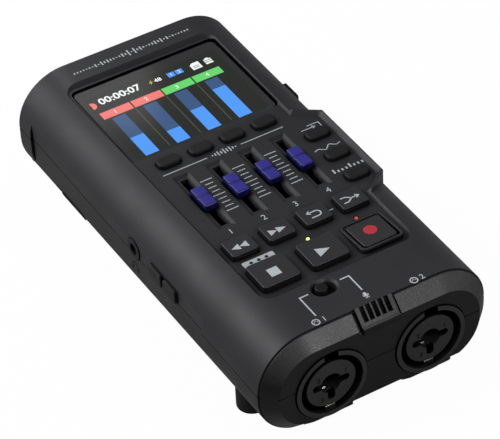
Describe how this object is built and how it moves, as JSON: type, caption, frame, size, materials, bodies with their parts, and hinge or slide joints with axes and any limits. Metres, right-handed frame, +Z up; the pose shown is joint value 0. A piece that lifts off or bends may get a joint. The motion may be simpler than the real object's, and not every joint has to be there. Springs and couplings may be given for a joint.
{
  "type": "handheld audio recorder",
  "caption": "Handheld multitrack audio recorder with a colour screen, blue channel faders, transport keys and combination input jacks on its front end.",
  "frame": {"origin": "under the middle of the recorder, on the surface that its feet stand on", "axes": "+X to the right, +Y from the jack end to the screen end, +Z up out of the panel"},
  "size_m": [0.0739, 0.1411, 0.037],
  "materials": {
    "charcoal_plastic": "satin",
    "bezel_plastic": "matt, finely grained",
    "grille_plastic": "matt",
    "screen_glass": "polished",
    "display": "polished",
    "circuit_board": "satin",
    "plated_steel": "bright",
    "contact_metal": "bright",
    "blue_plastic": "satin",
    "black_rubber": "matt",
    "key_plastic": "matt",
    "switch_plastic": "satin",
    "green_lens": "lit",
    "red_lens": "lit",
    "jack_plastic": "satin",
    "cell_jacket": "satin",
    "speaker_plastic": "matt"
  },
  "bodies": {
    "recorder": {"top_case": "charcoal_plastic", "bottom_case": "charcoal_plastic", "front_bezel": "bezel_plastic", "mic_grille": "grille_plastic", "screen_window": "screen_glass", "lcd_module": "display", "main_board": "circuit_board", "fader_tracks": "plated_steel", "key_switches": "plated_steel", "record_ring": "key_plastic", "green_light": "green_lens", "red_light": "red_lens", "mic_switch_body": "plated_steel", "mic_capsule": "plated_steel", "jack_shell_left": "jack_plastic", "jack_insert_left": "jack_plastic", "jack_contacts_left": "contact_metal", "jack_shell_right": "jack_plastic", "jack_insert_right": "jack_plastic", "jack_contacts_right": "contact_metal", "headphone_jack": "jack_plastic", "side_board": "circuit_board", "power_switch_body": "plated_steel", "usb_port": "plated_steel", "card_slot": "plated_steel", "battery_tray": "jack_plastic", "battery_contacts": "plated_steel", "battery_cells": "cell_jacket", "speaker": "speaker_plastic", "front_feet": "black_rubber", "screws": "plated_steel"},
    "fader_1": {"fader_cap_1": "blue_plastic"},
    "fader_2": {"fader_cap_2": "blue_plastic"},
    "fader_3": {"fader_cap_3": "blue_plastic"},
    "fader_4": {"fader_cap_4": "blue_plastic"},
    "track_key_1_body": {"track_key_1": "black_rubber"},
    "track_key_2_body": {"track_key_2": "black_rubber"},
    "track_key_3_body": {"track_key_3": "black_rubber"},
    "track_key_4_body": {"track_key_4": "black_rubber"},
    "function_key_1_body": {"function_key_1": "black_rubber"},
    "function_key_2_body": {"function_key_2": "black_rubber"},
    "function_key_3_body": {"function_key_3": "black_rubber"},
    "rewind_key_body": {"rewind_key": "key_plastic"},
    "forward_key_body": {"forward_key": "key_plastic"},
    "undo_key_body": {"undo_key": "key_plastic"},
    "merge_key_body": {"merge_key": "key_plastic"},
    "stop_key_body": {"stop_key": "key_plastic"},
    "play_key_body": {"play_key": "key_plastic"},
    "record_key_body": {"record_key": "key_plastic"},
    "volume_up_key_body": {"volume_up_key": "key_plastic"},
    "volume_down_key_body": {"volume_down_key": "key_plastic"},
    "mic_switch": {"mic_switch_knob": "switch_plastic"},
    "power_switch": {"power_knob": "switch_plastic"},
    "latch": {"cover_latch": "switch_plastic"},
    "cover": {"battery_cover": "charcoal_plastic", "rear_pads": "black_rubber"}
  },
  "joints": [
    {"name": "fader_1_slide", "type": "slide", "parent": "recorder", "child": "fader_1", "axis": [0, 1, 0], "range_m": [-0.0073, 0.0073]},
    {"name": "fader_2_slide", "type": "slide", "parent": "recorder", "child": "fader_2", "axis": [0, 1, 0], "range_m": [-0.0073, 0.0073]},
    {"name": "fader_3_slide", "type": "slide", "parent": "recorder", "child": "fader_3", "axis": [0, 1, 0], "range_m": [-0.0073, 0.0073]},
    {"name": "fader_4_slide", "type": "slide", "parent": "recorder", "child": "fader_4", "axis": [0, 1, 0], "range_m": [-0.0073, 0.0073]},
    {"name": "track_key_1_press", "type": "slide", "parent": "recorder", "child": "track_key_1_body", "axis": [0, 0, -1], "range_m": [0, 0.0006], "stiffness_N_per_m": 1500},
    {"name": "track_key_2_press", "type": "slide", "parent": "recorder", "child": "track_key_2_body", "axis": [0, 0, -1], "range_m": [0, 0.0006], "stiffness_N_per_m": 1500},
    {"name": "track_key_3_press", "type": "slide", "parent": "recorder", "child": "track_key_3_body", "axis": [0, 0, -1], "range_m": [0, 0.0006], "stiffness_N_per_m": 1500},
    {"name": "track_key_4_press", "type": "slide", "parent": "recorder", "child": "track_key_4_body", "axis": [0, 0, -1], "range_m": [0, 0.0006], "stiffness_N_per_m": 1500},
    {"name": "function_key_1_press", "type": "slide", "parent": "recorder", "child": "function_key_1_body", "axis": [0, 0, -1], "range_m": [0, 0.0006], "stiffness_N_per_m": 1500},
    {"name": "function_key_2_press", "type": "slide", "parent": "recorder", "child": "function_key_2_body", "axis": [0, 0, -1], "range_m": [0, 0.0006], "stiffness_N_per_m": 1500},
    {"name": "function_key_3_press", "type": "slide", "parent": "recorder", "child": "function_key_3_body", "axis": [0, 0, -1], "range_m": [0, 0.0006], "stiffness_N_per_m": 1500},
    {"name": "rewind_key_press", "type": "slide", "parent": "recorder", "child": "rewind_key_body", "axis": [0, 0, -1], "range_m": [0, 0.0006], "stiffness_N_per_m": 1500},
    {"name": "forward_key_press", "type": "slide", "parent": "recorder", "child": "forward_key_body", "axis": [0, 0, -1], "range_m": [0, 0.0006], "stiffness_N_per_m": 1500},
    {"name": "undo_key_press", "type": "slide", "parent": "recorder", "child": "undo_key_body", "axis": [0, 0, -1], "range_m": [0, 0.0006], "stiffness_N_per_m": 1500},
    {"name": "merge_key_press", "type": "slide", "parent": "recorder", "child": "merge_key_body", "axis": [0, 0, -1], "range_m": [0, 0.0006], "stiffness_N_per_m": 1500},
    {"name": "stop_key_press", "type": "slide", "parent": "recorder", "child": "stop_key_body", "axis": [0, 0, -1], "range_m": [0, 0.0006], "stiffness_N_per_m": 1500},
    {"name": "play_key_press", "type": "slide", "parent": "recorder", "child": "play_key_body", "axis": [0, 0, -1], "range_m": [0, 0.0006], "stiffness_N_per_m": 1500},
    {"name": "record_key_press", "type": "slide", "parent": "recorder", "child": "record_key_body", "axis": [0, 0, -1], "range_m": [0, 0.0006], "stiffness_N_per_m": 1500},
    {"name": "volume_up_key_press", "type": "slide", "parent": "recorder", "child": "volume_up_key_body", "axis": [1, 0, 0], "range_m": [0, 0.0006], "stiffness_N_per_m": 1500},
    {"name": "volume_down_key_press", "type": "slide", "parent": "recorder", "child": "volume_down_key_body", "axis": [1, 0, 0], "range_m": [0, 0.0006], "stiffness_N_per_m": 1500},
    {"name": "mic_switch_slide", "type": "slide", "parent": "recorder", "child": "mic_switch", "axis": [1, 0, 0], "range_m": [0, 0.002]},
    {"name": "power_switch_slide", "type": "slide", "parent": "recorder", "child": "power_switch", "axis": [0, 1, 0], "range_m": [0, 0.004]},
    {"name": "cover_latch_slide", "type": "slide", "parent": "recorder", "child": "latch", "axis": [0, 1, 0], "range_m": [0, 0.0035]},
    {"name": "battery_cover_slide", "type": "slide", "parent": "recorder", "child": "cover", "axis": [0, 0.9999, -0.0147], "range_m": [0, 0.008]}
  ]
}
